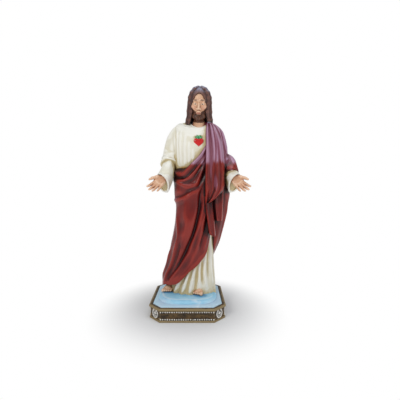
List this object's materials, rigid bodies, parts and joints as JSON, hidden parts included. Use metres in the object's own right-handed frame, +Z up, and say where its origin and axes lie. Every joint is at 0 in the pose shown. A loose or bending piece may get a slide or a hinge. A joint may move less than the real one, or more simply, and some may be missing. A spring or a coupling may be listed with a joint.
{
  "type": "painted devotional statue",
  "caption": "Painted plaster statue of a robed, bearded man with open hands and a heart in relief, on a low eight-sided plinth with beaded borders.",
  "frame": {"origin": "middle of the plinth's flat underside", "axes": "+Z up, +X to the viewer's right, and the figure faces -Y"},
  "size_m": [0.2562, 0.19, 0.6012],
  "materials": {
    "painted_plaster": "varnished oil paint on plaster: dark red mantle, ivory robe, flesh, brown hair and pale blue ground",
    "bronzed_plaster": "dark bronze paint with rubbed gold and silver highlights"
  },
  "bodies": {
    "root": {"figure": "painted_plaster", "plinth": "bronzed_plaster"}
  },
  "joints": []
}
